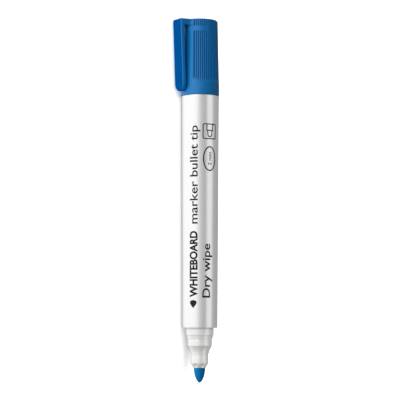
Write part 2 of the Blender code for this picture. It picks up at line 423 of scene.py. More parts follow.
def white_finish():
    """White polypropylene, slightly translucent, with the fine grain of its mould."""
    finish = Finish("white_polypropylene", (0.88, 0.877, 0.865), 0.27)
    finish.set("Metallic", 0.2)
    finish.set("Coat Weight", 0.8)
    finish.set("Coat IOR", 1.7)
    finish.set("Coat Roughness", 0.2)
    finish.set("Subsurface Weight", 0.12)
    finish.set("Subsurface Radius", (1.0, 0.95, 0.85))
    finish.set("Subsurface Scale", 0.8 * MM)
    cloud = finish.noise(300, detail=4)
    finish.drive("Base Color", finish.mix(cloud, (0.865, 0.862, 0.85), (0.905, 0.902, 0.89)))
    finish.drive("Roughness", finish.span(finish.noise(1200, detail=2), 0.2, 0.26))
    rings = finish.noise(5000, detail=2, stretch=(1, 0.05, 0.05))
    grain = finish.bump(rings, 0.0006 * MM)
    finish.bump(finish.noise(4200, detail=3), 0.0006 * MM, under=grain)
    return finish.material


def painted_groove_shade(finish, reach, side):
    """Where shade is painted into the colour: 1 in the grooves between the cap's ribs, 0 elsewhere.
    """
    height = finish.dot(PEN_AXIS, (CAP_HIGH.x, 0, 0))
    crest = finish.span(height, 7.80 * MM, 7.27 * MM, 5.2 * MM, 30.4 * MM)
    squares = [finish.math("MULTIPLY", source, source) for source in (reach, side)]
    radius = finish.math("SQRT", finish.math("ADD", *squares))
    drop = finish.math("SUBTRACT", crest, radius)
    sunk = finish.span(drop, 0.0, 1.0, 0.28 * MM, 0.4 * MM)
    outside = finish.span(drop, 1.0, 0.0, 0.6 * MM, 0.75 * MM)
    upright = finish.span(finish.facing(PEN_AXIS), 1.0, 0.0, 0.3, 0.7)
    return finish.math("MULTIPLY", sunk, finish.math("MULTIPLY", outside, upright))


def blue_finish():
    """Blue polypropylene with faint flow marks and grain.

    Shade is painted deeper blue into the cap's grooves and onto the clip's broad face, which is
    duller too, and a highlight is painted lighter blue along the clip's edges.
    """
    finish = Finish("blue_polypropylene", (0.0, 0.14, 0.54), 0.26)
    finish.set("Subsurface Weight", 0.03)
    finish.set("Subsurface Radius", (0.2, 0.5, 1.0))
    finish.set("Subsurface Scale", 0.4 * MM)
    reach = finish.dot(TO_CLIP, (0, AXIS_Y, AXIS_Z))
    side = finish.dot(ACROSS, (0, AXIS_Y, AXIS_Z))
    on_clip = finish.span(reach, 0.0, 1.0, 8.2 * MM, 8.6 * MM)
    flow = finish.noise(120, detail=4, roughness=0.6, stretch=(0.35, 1, 1))
    shell = finish.mix(flow, (0.001, 0.203, 0.57), (0.002, 0.232, 0.62))
    # Painted shade: the grooves between the ribs are given a darker blue.
    shell = finish.mix(painted_groove_shade(finish, reach, side), shell, (0.0, 0.055, 0.2))
    sideways = finish.facing(ACROSS)
    # Painted shade on the clip's broad face and painted highlight along its bevelled edges.
    painted_clip_edge_highlight = finish.span(sideways, 0.0, 1.0, 0.2, 0.6)
    clip = finish.mix(painted_clip_edge_highlight, (0.0, 0.084, 0.31), (0.001, 0.22, 0.66))
    clip_gloss = finish.span(sideways, 0.0, 0.4, 0.25, 0.6)
    finish.drive("Base Color", finish.mix(on_clip, shell, clip))
    finish.drive("Specular IOR Level", finish.blend(on_clip, 0.36, clip_gloss))
    finish.drive("Roughness", finish.span(finish.noise(1500, detail=3), 0.285, 0.35))
    grain = finish.bump(finish.noise(5200, detail=3), 0.002 * MM)
    finish.bump(finish.noise(420, detail=2), 0.006 * MM, under=grain)
    return finish.material


def felt_finish():
    """Pressed fibre soaked with ink: fine lengthwise fibres, matt, darker where the ink pools."""
    finish = Finish("inked_felt", (0.001, 0.22, 0.56), 0.72)
    finish.set("Specular IOR Level", 0.1)
    fibres = finish.noise(5200, detail=4, roughness=0.65, stretch=(0.16, 1, 1))
    pools = finish.noise(700, detail=3)
    strands = finish.span(fibres, 0, 1, 0.3, 0.7)
    wet = finish.mix(strands, (0.0, 0.15, 0.42), (0.002, 0.3, 0.7))
    finish.drive("Base Color", finish.mix(finish.span(pools, 0, 0.5), wet, (0.0, 0.17, 0.48)))
    finish.drive("Roughness", finish.span(pools, 0.5, 0.85))
    weave = finish.bump(fibres, 0.05 * MM)
    finish.bump(finish.noise(9000, detail=2), 0.02 * MM, under=weave)
    return finish.material


def fibre_finish():
    """The reservoir's bundle of long polyester fibres, full of ink."""
    finish = Finish("reservoir_fibre", (0.01, 0.08, 0.42), 0.85)
    fibres = finish.noise(4200, detail=4, stretch=(0.04, 1, 1))
    finish.drive("Base Color", finish.mix(fibres, (0.004, 0.05, 0.3), (0.03, 0.16, 0.55)))
    finish.bump(fibres, 0.08 * MM)
    return finish.material


def film_finish():
    """The clear film sleeve round the bundle, with long wrinkles."""
    finish = Finish("sleeve_film", (0.8, 0.83, 0.86), 0.18)
    finish.set("Transmission Weight", 0.6)
    wrinkles = finish.noise(700, detail=3, stretch=(0.12, 1, 1))
    finish.drive("Roughness", finish.span(wrinkles, 0.12, 0.3))
    finish.bump(wrinkles, 0.05 * MM)
    return finish.material


def ink_finish():
    """Black pad print, a little broken up where the ink lies thin."""
    finish = Finish("black_print", (0.012, 0.012, 0.014), 0.6)
    finish.set("Specular IOR Level", 0.15)
    thin = finish.span(finish.noise(6500, detail=3), 0, 1, 0.35, 0.75)
    finish.drive("Base Color", finish.mix(thin, (0.008, 0.008, 0.009), (0.03, 0.03, 0.033)))
    finish.drive("Roughness", finish.span(thin, 0.5, 0.7))
    finish.bump(thin, 0.002 * MM)
    return finish.material


def table_finish():
    """A plain near-white table with a faint glow of its own."""
    finish = Finish("pale_table", (0.9, 0.9, 0.9), 0.6)
    finish.set("Emission Color", (1, 1, 1, 1))
    finish.set("Emission Strength", 0.2)
    finish.set("Specular IOR Level", 0.2)
    cloud = finish.noise(9, detail=3)
    finish.drive("Base Color", finish.mix(cloud, (0.895, 0.895, 0.893), (0.905, 0.905, 0.905)))
    return finish.material


def paint(piece, finish):
    """Gives the piece its material."""
    piece.data.materials.clear()
    piece.data.materials.append(finish)


# ---------------- barrel, nib and nib holder


def make_barrel(finish):
    """The straight tapered tube: square front edge, and a seat at the rear for the cap's mouth."""
    corners = [
        (BARREL_BORE_RADIUS, BARREL_FRONT + 0.05 * MM, 0.08 * MM),
        (BARREL_FRONT_RADIUS - 0.02 * MM, BARREL_FRONT, 0.14 * MM),
        (barrel_radius(BARREL_FRONT + 1 * MM), BARREL_FRONT + 1 * MM, 0),
        (barrel_radius(BARREL_SEAT - 1 * MM), BARREL_SEAT - 1 * MM, 0),
        (BARREL_REAR_RADIUS, BARREL_SEAT, 0.2 * MM),
        (BARREL_BORE_RADIUS + 0.1 * MM, BARREL_SEAT, 0.1 * MM),
        (BARREL_BORE_RADIUS, BARREL_SEAT - 1 * MM, 0),
    ]
    barrel = turned("barrel_tube", rounded(corners, is_loop=True), is_tube=True)
    paint(barrel, finish)
    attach(barrel, "barrel")
    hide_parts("barrel")


def nib_shape(radius, height, angle):
    """Slight unevenness of pressed felt, less at the point."""
    ripple = sin(5 * angle + 900 * height) + 0.6 * sin(11 * angle - 2300 * height)
    return radius * (1 + 0.006 * ripple * min(1.0, radius / NIB_RADIUS))


def make_nib(finish):
    outline = [(0, 0)]
    bullet_steps = 30
    for step in range(1, bullet_steps + 1):
        share = 1 - cos(pi / 2 * step / bullet_steps)
        radius = NIB_RADIUS * (1 - (1 - share) ** BULLET_POWER) ** (1 / BULLET_POWER)
        outline.append((radius, share * BULLET_LENGTH))
    tail = 4 * MM
    outline += [(NIB_RADIUS, BULLET_LENGTH + step * MM) for step in range(1, 6)]
    outline += [(NIB_RADIUS, NIB_LENGTH - tail), (1 * MM, NIB_LENGTH), (0, NIB_LENGTH)]
    nib = turned("bullet_nib", outline, shape=nib_shape, steps=96)
    paint(nib, finish)
    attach(nib, "barrel")
    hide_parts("nib")


def holder_shape(radius, height, angle):
    """Air vents: six short notches across the nose that the nib comes out of."""
    if not NOSE_FRONT - MM < height < NOSE_REAR + 0.2 * MM or radius < 2.5 * MM:
        return radius
    pitch = 2 * pi / VENT_COUNT
    offset = abs((angle - FIRST_VENT + pitch / 2) % pitch - pitch / 2)
    across = 1 - ramp(offset, VENT_HALF_ANGLE * 0.7, VENT_HALF_ANGLE)
    along = 1 - ramp(height, NOSE_REAR - 0.5 * MM, NOSE_REAR)
    return max(NOSE_MOUTH_RADIUS, radius - VENT_DEPTH * across * along)


def make_nib_holder(finish):
    """The stepped white front section: nose, nib tube, two cones with a band behind each."""
    corners_mm = [
        (HOLDER_BORE_MM, 11.5, 0),
        (HOLDER_BORE_MM, 6.25, 0.1),
        (2.44, 6.05, 0.05),
        (2.56, 6.05, 0.08),
        (2.95, 6.7, 0.2),
        (3.60, 7.86, 0.35),
        (3.68, 8.8, 0.8),
        (3.59, 10.15, 0.8),
        (3.54, 11.26, 0.12),
        (3.60, 11.44, 0.1),
        (3.94, 12.85, 0.9),
        (4.92, 14.84, 0.1),
        (5.02, 14.94, 0.06),
        (5.06, 15.06, 0.06),
        (5.09, 17.2, 0.08),
        (5.02, 17.32, 0.06),
        (5.62, 19.24, 0.08),
        (5.73, 19.34, 0.06),
        (5.78, 19.5, 0.08),
        (5.79, 21.6, 0.1),
        (5.74, 21.88, 0.1),
        (5.66, 22.05, 0.08),
        (5.66, 22.7, 0.1),
        (5.90, 23.0, 0.1),
        (5.90, 32.6, 0.3),
        (5.2, HOLDER_REAR / MM, 0.2),
        (HOLDER_BORE_MM, HOLDER_REAR / MM, 0),
    ]
    outline = rounded(in_metres(corners_mm), is_loop=True)
    nose = [p for p in outline if p[1] < NOSE_REAR and p[0] > NOSE_MOUTH_RADIUS]
    holder = turned("nib_holder_body", densified(outline, nose), True, holder_shape, steps=216)
    paint(holder, finish)
    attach(holder, "barrel")
    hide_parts("nib_holder")


def densified(outline, where):
    """The outline with extra points between those named, so that notches can bend it."""
    made = []
    for index, point in enumerate(outline):
        made.append(point)
        following = outline[(index + 1) % len(outline)]
        gap = hypot(following[0] - point[0], following[1] - point[1])
        if point in where and gap > 0.12 * MM:
            extra = int(gap / (0.1 * MM))
            for step in range(1, extra + 1):
                share = step / (extra + 1)
                made.append(tuple(a + (b - a) * share for a, b in zip(point, following)))
    return made


def make_end_plug(finish):
    """The blue plug, with two fine grip rings on the spigot that the cap is posted on."""
    start, seat, end = PLUG_FRONT / MM, BARREL_SEAT / MM, PLUG_REAR / MM
    corners_mm = [(0, end - 1.2, 0), (4.68, end - 1.2, 0.3)]
    corners_mm += [(4.68, start, 0.1), (5.9, start, 0.1)]
    corners_mm += [(5.9, seat - 0.4, 0.1), (5.8, seat + 0.1, 0.1)]
    for ring_start in (2.4, 4.4):
        base = seat + ring_start
        corners_mm += [(5.8, base, 0.08), (5.88, base + 0.25, 0.1), (5.88, base + 0.6, 0.1)]
        corners_mm += [(5.8, base + 0.85, 0.08)]
    corners_mm += [(5.8, end - 0.9, 0.1), (5.6, end - 0.25, 0.35), (5.1, end, 0.25)]
    corners_mm += [(1.0, end, 0.1), (0.85, end - 0.15, 0.1), (0, end - 0.15, 0)]
    plug = turned("rear_plug", rounded(in_metres(corners_mm)))
    paint(plug, finish)
    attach(plug, "barrel")
    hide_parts("end_plug")


# ---------------- cap


def crest_radius(height):
    """The cap's outer radius over the tops of its ribs, by height above the mouth."""
    return float(np.interp(height / MM, CREST_HEIGHTS_MM, CREST_RADII_MM)) * MM


def strip_share(angle, height):
    """1 inside the smooth sunk strip below the closed end, 0 outside, smooth over its walls."""
    turn = abs((angle + pi) % (2 * pi) - pi)
    middle_angle = (STRIP_NEAR + STRIP_FAR) / 2
    radius = crest_radius(height)
    half_length = (STRIP_FAR - STRIP_NEAR) / 2 * radius - STRIP_CORNER
    half_height = (STRIP_HIGH - STRIP_LOW) / 2 - STRIP_CORNER
    along = max(0.0, abs(turn - middle_angle) * radius - half_length)
    up = max(0.0, abs(height - (STRIP_HIGH + STRIP_LOW) / 2) - half_height)
    return 1 - ramp(hypot(along, up), STRIP_CORNER - 0.1 * MM, STRIP_CORNER + 0.04 * MM)


def rib_drop(angle):
    """How far the reeded surface lies below the crests at an angle: 0 to 1."""
    turn = (angle - SMOOTH_HALF_ANGLE) % (2 * pi)
    ribbed = 2 * pi - 2 * SMOOTH_HALF_ANGLE
    if turn >= ribbed:
        return 0.0
    across = abs(2 * ((turn / ribbed * RIB_COUNT) % 1.0) - 1)
    return float(np.interp(across, (0.0, 0.4, 0.6, 0.8, 1.0), (0.0, 0.03, 0.14, 0.95, 1.0)))


def cap_angles():
    half, count = SMOOTH_HALF_ANGLE, RIB_COUNT * RIB_STEPS
    ribbed = 2 * pi - 2 * half
    ribs = [half + ribbed * step / count for step in range(count)]
    smooth = [2 * half * step / SMOOTH_STEPS - half for step in range(SMOOTH_STEPS)]
    return ribs + smooth


def cap_wall(angle, height):
    """The outer radius with its ribs and its strip."""
    depth = RIB_DEPTH * ramp(height, RIBS_START, RIBS_START + RIBS_RUN_OUT) * rib_drop(angle)
    share = strip_share(angle, height)
    return crest_radius(height) - depth * (1 - share) - STRIP_DEPTH * share


def cap_outer_rings(angles):
    """The outside, from the lip at the mouth to the rounded edge of the closed end."""
    lip = rounded(
        [
            (6.75 * MM, 0.0, 0),
            (CAP_LIP_RADIUS - 0.08 * MM, 0.0, 0.3 * MM),
            (CAP_LIP_RADIUS, 0.45 * MM, 0.25 * MM),
            (CAP_LIP_RADIUS, 0.86 * MM, 0.06 * MM),
            (CAP_LIP_RADIUS - 0.07 * MM, 0.97 * MM, 0.05 * MM),
            (CAP_LIP_RADIUS - 0.005 * MM, 1.12 * MM, 0.06 * MM),
            (CAP_LIP_RADIUS - 0.01 * MM, 1.6 * MM, 0),
        ]
    )
    rings = [ring([radius] * len(angles), height, angles) for radius, height in lip]
    heights = [2.6, 3.6] + list(np.arange(4.4, 7.5, 0.2)) + [8, 10, 12, 15, 18, 21, 24]
    heights += list(np.arange(26.0, 29.2, 0.09)) + [29.6, 30.1]
    for height in heights:
        rings.append(ring([cap_wall(a, height * MM) for a in angles], height * MM, angles))
    shoulder = CAP_LENGTH - CAP_END_ROUNDING
    corner_steps = 7
    for step in range(corner_steps):
        turn = pi / 2 * step / corner_steps
        height = shoulder + CAP_END_ROUNDING * sin(turn)
        eased = 1 - cos(turn)
        radii = [
            cap_wall(a, shoulder) + (RIB_DEPTH * rib_drop(a) - CAP_END_ROUNDING) * eased
            for a in angles
        ]
        rings.append(ring(radii, height, angles))
    return rings


def cap_end_rings(angles):
    """The flat closed end, with the small dimple of its moulding gate."""
    top = CAP_LENGTH
    edge = crest_radius(top) - CAP_END_ROUNDING
    profile = [
        (edge, top),
        (edge - 0.5 * MM, top),
        (1.3 * MM, top),
        (1.15 * MM, top - 0.04 * MM),
        (0.95 * MM, top - 0.16 * MM),
        (0.5 * MM, top - 0.18 * MM),
    ]
    rings = [ring([radius] * len(angles), height, angles) for radius, height in profile]
    return rings + [[(0, 0, top - 0.1 * MM)]]


def cap_bore_rings(angles):
    """The inside, from its floor to the mouth, with the short ribs that grip the plug."""

    def bore(angle, height):
        pitch = 2 * pi / GRIP_COUNT
        offset = abs((angle + pitch / 2) % pitch - pitch / 2)
        grip = 1 - ramp(offset, GRIP_HALF_ANGLE * 0.5, GRIP_HALF_ANGLE)
        grip *= ramp(height, 0.7 * MM, 1.6 * MM) * (1 - ramp(height, 9.2 * MM, 9.8 * MM))
        return CAP_BORE_RADIUS - (CAP_BORE_RADIUS - GRIP_RADIUS) * grip

    floor = CAP_LENGTH - CAP_END_THICKNESS
    ledge = 10.6 * MM
    rings = [[(0, 0, floor)]]
    for radius in (3 * MM, CAP_DEEP_BORE_RADIUS):
        rings.append(ring([radius] * len(angles), floor, angles))
    rings.append(ring([CAP_DEEP_BORE_RADIUS + 0.25 * MM] * len(angles), ledge, angles))
    for height in (10.4, 9.8, 9.5, 9.2, 6.0, 3.0, 1.6, 1.3, 1.0, 0.7, 0.45):
        radii = [bore(a, height * MM) for a in angles]
        rings.append(ring(radii, height * MM, angles))
    rings.append(ring([6.5 * MM] * len(angles), 0.12 * MM, angles))
    return rings


def make_shell_mesh():
    angles = cap_angles()
    rings = cap_bore_rings(angles) + cap_outer_rings(angles) + cap_end_rings(angles)
    return skin("cap_shell_form", rings)


# ---------------- clip


def clip_reach(height):
    """How far the clip's outer face stands from the pen's axis at a height."""
    share = (height - CLIP_TIP) / (CAP_LENGTH - CLIP_TIP)
    return CLIP_TIP_REACH + share * (CLIP_TOP_REACH - CLIP_TIP_REACH)


def clip_plan(inset, top_inset, side_start):
    """The clip's outline from the front, in two parts.

    The lower part runs from the left side at side_start, round the free end, to the right side
    at the same height. The upper part follows it over the top's two corners.
    """
    half = CLIP_HALF_WIDTH - inset
    centre = CLIP_TIP + CLIP_HALF_WIDTH
    tip_steps = 28
    lower = [(-half, side_start), (-half, (side_start + centre) / 2)]
    for step in range(tip_steps + 1):
        angle = pi + pi * step / tip_steps
        lower.append((half * cos(angle), centre + half * sin(angle)))
    lower += [(half, (side_start + centre) / 2), (half, side_start)]
    corner = CLIP_TOP_CORNER
    top = BRIDGE_TOP - top_inset
    upper = []
    for side in (1, -1):
        turns = [pi / 2 * step / 4 for step in range(5)]
        if side < 0:
            turns.reverse()
        for turn in turns:
            y = side * (half - corner + corner * cos(turn))
            upper.append((y, top - corner + corner * sin(turn)))
    return lower, upper


def make_clip_mesh():
    """The clip plate, stacked outline on outline through its thickness, and its bridge."""
    edge, back_edge, top_edge = 0.42 * MM, 0.2 * MM, 0.6 * MM
    split = BRIDGE_UNDERSIDE - BRIDGE_FILLET
    edge_steps = 5
    layers = [(0.0, back_edge, 0.0), (0.06 * MM, 0.06 * MM, 0.0), (back_edge, 0.0, 0.0)]
    for step in range(edge_steps + 1):
        turn = pi / 2 * step / edge_steps
        layers.append(
            (
                CLIP_THICKNESS - edge + edge * sin(turn),
                edge * (1 - cos(turn)),
                top_edge * (1 - cos(turn)),
            )
        )
    work = bmesh.new()
    loops = []
    for thickness, inset, top_inset in layers:
        lower, upper = clip_plan(inset, top_inset, split)
        # The rounding of the back's edge stops at the bridge, which carries on at full width
        if inset and thickness < back_edge:
            upper = clip_plan(0.0, 0.0, split)[1]
        loop = []
        for y, height in lower + upper:
            reach = clip_reach(height) - CLIP_THICKNESS + thickness
            loop.append(work.verts.new((reach, y, height)))
        loops.append(loop)
    for first, second in zip(loops, loops[1:]):
        join_loops(work, first, second)
    work.faces.new(loops[-1])
    add_bridge(work, loops[0], len(clip_plan(0, 0, split)[0]))
    mesh = bpy.data.meshes.new("clip_form")
    bmesh.ops.remove_doubles(work, verts=work.verts, dist=1e-7)
    bmesh.ops.recalc_face_normals(work, faces=work.faces)
    work.to_mesh(mesh)
    work.free()
    return mesh


def join_loops(work, first, second):
    for step in range(len(first)):
        after = (step + 1) % len(first)
        work.faces.new((first[step], first[after], second[after], second[step]))


def add_bridge(work, back, lower_count):
    """Carries the top of the clip's back in to the cap's wall, with a fillet where it starts.

    Near the cap the bridge grows a little wider and deeper.
    """
    right_foot, left_foot = back[lower_count - 1], back[0]
    start_reach = right_foot.co.x
    under = []
    for step in range(1, BRIDGE_UNDER_STEPS):
        under.append(work.verts.new(left_foot.co.lerp(right_foot.co, step / BRIDGE_UNDER_STEPS)))
    work.faces.new(back[:lower_count] + list(reversed(under)))
    previous = [right_foot] + back[lower_count:] + [left_foot] + under
    places = [(vertex.co.y, vertex.co.z) for vertex in previous]
    first_under = len(places) - BRIDGE_UNDER_STEPS
    turns = [pi / 2 * step / 5 for step in range(1, 6)]
    reaches = [start_reach - BRIDGE_FILLET * (1 - cos(turn)) for turn in turns]
    reaches += [BEND_END + 0.02 * MM, BEND_START - 0.02 * MM]
    reaches += [reach * MM for reach in (7.6, 7.4, 7.2, 7.0, 6.8, 6.6, 6.4, 6.2)]
    reaches.append(BRIDGE_ROOT_REACH)
    for reach in reaches:
        inward = (start_reach - reach) / BRIDGE_FILLET
        rise = 0.0
        if inward < 1:
            rise = BRIDGE_FILLET * (1 - sqrt(max(0.0, 1 - (inward - 1) ** 2)))
        root = (BRIDGE_FLARE_REACH - reach) / (BRIDGE_FLARE_REACH - BRIDGE_ROOT_REACH)
        flare = max(0.0, root) ** 2
        foot = BRIDGE_UNDERSIDE - rise - 0.35 * MM * flare
        current = []
        for index, (y, height) in enumerate(places):
            is_foot = index == 0 or index >= first_under
            place = (reach, y * (1 + 0.12 * flare), foot if is_foot else height)
            current.append(work.verts.new(place))
        join_loops(work, previous, current)
        previous = current
    work.faces.new(previous)


def make_cap(finish):
    """The shell and its clip as the one moulding that they are."""
    shell = link("cap_moulding", make_shell_mesh())
    clip = link("clip_form", make_clip_mesh())
    union = shell.modifiers.new("clip", "BOOLEAN")
    union.operation = "UNION"
    union.solver = "EXACT"
    union.object = clip
    graph = bpy.context.evaluated_depsgraph_get()
    mesh = bpy.data.meshes.new_from_object(shell.evaluated_get(graph))
    shell.modifiers.clear()
    shell.data = mesh
    bpy.data.objects.remove(clip)
    mesh.transform(PEN @ Matrix.Translation((0, 0, CAP_MOUTH)))
    shaded(mesh)
    paint(shell, finish)
    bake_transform(shell)
    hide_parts("cap_shell", "clip")


def make_inner_cap(finish):
    """The white liner, with two seal beads in its mouth and a collar outside it."""
    front, rear = INNER_CAP_FRONT / MM, INNER_CAP_REAR / MM
    corners_mm = [
        (0, rear - 1.1, 0),
        (3.85, rear - 1.1, 0.3),
        (3.85, front + 4.0, 0.2),
        (3.78, front + 3.4, 0.3),
        (3.85, front + 2.8, 0.3),
        (3.78, front + 2.0, 0.3),
        (3.9, front + 1.2, 0.3),
        (4.3, front, 0.2),
        (5.6, front, 0.2),
        (5.7, front + 0.3, 0.1),
        (5.7, front + 1.2, 0.1),
        (5.4, front + 1.3, 0.1),
        (5.3, rear - 0.3, 0.2),
        (5.0, rear, 0.2),
        (0, rear, 0),
    ]
    liner = turned("cap_liner", rounded(in_metres(corners_mm)))
    paint(liner, finish)
    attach(liner, "inner_cap")
    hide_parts("inner_cap")


# ---------------- printing


def printed_solid(points, faces):
    """A flat shape with a front, a back and sides, on (along, up) coordinates."""
    work = bmesh.new()
    front = [work.verts.new((x, y, PRINT_HEIGHT)) for x, y in points]
    back = [work.verts.new((x, y, -PRINT_ROOT)) for x, y in points]
    for level in (front, back):
        for face in faces:
            work.faces.new([level[index] for index in face])
    edges = [pair for face in faces for pair in zip(face, face[1:] + face[:1])]
    for start, end in edges:
        if (end, start) not in edges:
            work.faces.new((front[start], front[end], back[end], back[start]))
    return work


def stroke(points, width, is_closed=True):
    """A line of constant width through points, as a printed solid."""
    count = len(points)
    left, right = [], []
    for index in range(count):
        here = Vector(points[index])
        before = Vector(points[index - 1]) if is_closed or index else None
        after = Vector(points[(index + 1) % count]) if is_closed or index < count - 1 else None
        ahead = (after - here).normalized() if after else (here - before).normalized()
        behind = (here - before).normalized() if before else ahead
        middle = (ahead + behind).normalized()
        normal = Vector((-middle.y, middle.x))
        stretch = width / 2 / max(0.4, middle.dot(ahead))
        left.append(tuple(here + normal * stretch))
        right.append(tuple(here - normal * stretch))
    faces = []
    for index in range(count if is_closed else count - 1):
        after = (index + 1) % count
        faces.append((index, after, count + after, count + index))
    return printed_solid(left + right, faces)


def filled(points):
    return printed_solid(points, [tuple(range(len(points)))])


def lettering(text, length, cap_height, boldness):
    """A line of text as a printed solid, from the origin, of that length and capital height."""
    curve = bpy.data.curves.new("lettering", "FONT")
    curve.body = text
    curve.size = 1.0
    curve.offset = boldness
    curve.resolution_u = 4
    curve.extrude = 0.5
    holder = link("lettering", curve)
    graph = bpy.context.evaluated_depsgraph_get()
    mesh = bpy.data.meshes.new_from_object(holder.evaluated_get(graph))
    work = bmesh.new()
    work.from_mesh(mesh)
    bpy.data.objects.remove(holder)
    bmesh.ops.remove_doubles(work, verts=work.verts, dist=1e-5)
    low = min(vertex.co.x for vertex in work.verts)
    high = max(vertex.co.x for vertex in work.verts)
    capital = FONT_CAPITAL + 2 * boldness
    for vertex in work.verts:
        x, y, z = vertex.co
        along = (x - low) / (high - low) * length
        up = (y + boldness) / capital * cap_height
        vertex.co = (along, up, PRINT_HEIGHT if z > 0 else -PRINT_ROOT)
    return work


def wrapped(name, work, station, angle):
    """Lays a printed solid on the barrel: its x runs along the pen, and its y round the pen."""
    bmesh.ops.triangulate(work, faces=[face for face in work.faces if len(face.verts) > 4])
    low = min(vertex.co.y for vertex in work.verts)
    high = max(vertex.co.y for vertex in work.verts)
    cuts = int((high - low) / PRINT_STEP)
    for cut in range(1, cuts + 1):
        everything = work.verts[:] + work.edges[:] + work.faces[:]
        place = low + (high - low) * cut / (cuts + 1)
        bmesh.ops.bisect_plane(
            work, geom=everything, dist=1e-8, plane_co=(0, place, 0), plane_no=(0, 1, 0)
        )
    for vertex in work.verts:
        x, y, z = vertex.co
        radius = barrel_radius(station + x)
        turn = angle - y / radius
        vertex.co = ((radius + z) * cos(turn), (radius + z) * sin(turn), station + x)
    mesh = bpy.data.meshes.new(name)
    work.to_mesh(mesh)
    work.free()
    return on_pen(name, mesh)


def arc(centre, radii, start, end, steps):
    """Points along an ellipse's arc, from one angle to the other."""
    points = []
    for step in range(steps):
        angle = start + (end - start) * step / (steps - 1)
        points.append((centre[0] + radii[0] * cos(angle), centre[1] + radii[1] * sin(angle)))
    return points


def rounded_frame(length, height, corner):
    """The outline of a box with round corners, from the origin."""
    points = []
    places = ((length, height), (0, height), (0, 0), (length, 0))
    signs = ((-1, -1), (1, -1), (1, 1), (-1, 1))
    for index, ((x, y), (sx, sy)) in enumerate(zip(places, signs)):
        centre = (x + sx * corner, y + sy * corner)
        points += arc(centre, (corner, corner), pi / 2 * index, pi / 2 * (index + 1), 6)
    return points


def drop_outline(length, width, steps=40):
    """A plain ink drop with its point towards the nib."""
    points = []
    for step in range(steps):
        angle = 2 * pi * step / steps
        pull = (0.5 + 0.5 * cos(angle)) ** 0.75
        points.append((length / 2 * (1 + cos(angle)), width / 2 * 1.3 * sin(angle) * pull))
    return points


def make_print(finish):
    """Generic printing in black: plain words, a drop, a tip in a box and a size in an oval."""
    title_base = VIEW_ANGLE - radians(7)
    kind_base = VIEW_ANGLE + radians(34.5)
    icon_middle = VIEW_ANGLE + radians(31.5)
    capital = 3.6 * MM
    pieces = []
    for name, text, length_mm, boldness, station_mm, base in (
        ("print_title", "WHITEBOARD", 26.9, 0.04, 34.65, title_base),
        ("print_subtitle", "marker bullet tip", 40.2, 0.012, 64.5, title_base),
        ("print_kind", "Dry wipe", 21.9, 0.014, 34.5, kind_base),
    ):
        line = lettering(text, length_mm * MM, capital, boldness)
        pieces.append(wrapped(name, line, station_mm * MM, base))
    drop = filled(drop_outline(3.3 * MM, 3.2 * MM))
    pieces.append(wrapped("print_drop", drop, 30.2 * MM, VIEW_ANGLE - radians(21)))
    side = 6.0 * MM
    box_start = 99.35 * MM
    box_base = icon_middle + side / 2 / barrel_radius(box_start)
    box = stroke(rounded_frame(side, side, 0.5 * MM), PRINT_LINE)
    pieces.append(wrapped("print_icon_frame", box, box_start, box_base))
    pieces += make_tip_icon(box_start, box_base, side)
    oval_length, oval_height = 9.7 * MM, 5.5 * MM
    oval_radius = barrel_radius(91 * MM)
    centre = (oval_length / 2, oval_height / 2)
    oval = stroke(arc(centre, centre, 0, 2 * pi * 63 / 64, 64), 0.5 * MM)
    oval_base = icon_middle + oval_height / 2 / oval_radius
    pieces.append(wrapped("print_ring", oval, 86.3 * MM, oval_base))
    size_text = lettering("2 mm", 5.4 * MM, 1.7 * MM, 0.01)
    size_base = icon_middle + 0.85 * MM / oval_radius
    pieces.append(wrapped("print_ring_text", size_text, 88.5 * MM, size_base))
    for piece in pieces:
        paint(piece, finish)
        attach(piece, "barrel")


def make_tip_icon(box_start, box_base, side):
    """A marker's tip inside the frame: a short holder and a bullet nib, in outline."""
    middle = side / 2
    holder_half, nib_half = 1.35 * MM, 0.95 * MM
    step = 3.4 * MM
    holder = [(side, middle + holder_half), (step, middle + holder_half)]
    holder += [(step, middle - holder_half), (side, middle - holder_half)]
    nib = [(step, middle + nib_half)]
    nib += arc((1.9 * MM, middle), (1.1 * MM, nib_half), pi / 2, 3 * pi / 2, 14)
    nib += [(step, middle - nib_half)]
    made = []
    for name, points in (("print_icon_holder", holder), ("print_icon_nib", nib)):
        shape = stroke(points, PRINT_LINE, is_closed=False)
        made.append(wrapped(name, shape, box_start, box_base))
    return made


# ---------------- studio


def make_table(finish):
    half = 4.0
    corners = [(-half, -half, 0), (half, -half, 0), (half, half, 0), (-half, half, 0)]
    table = link("table", mesh_of("table", corners, [(0, 1, 2, 3)]))
    table.data.materials.append(finish)
    return table


def softbox(name, elevation, azimuth, distance, width, height, watts):
    """A panel aimed at the pen. Azimuth 0 is in front of it, on the -Y side."""
    data = bpy.data.lights.new(name, "AREA")
    data.shape = "RECTANGLE"
    data.size, data.size_y = width, height
    data.energy = watts
    lamp = bpy.data.objects.new(name, data)
    bpy.context.scene.collection.objects.link(lamp)
    rise, turn = radians(elevation), radians(azimuth)
    back = Vector((sin(turn) * cos(rise), -cos(turn) * cos(rise), sin(rise)))
    lamp.location = Vector((0, AXIS_Y, AXIS_Z)) + back * distance
    lamp.rotation_euler = back.to_track_quat("Z", "X").to_euler()
    lamp.visible_camera = False
    return lamp


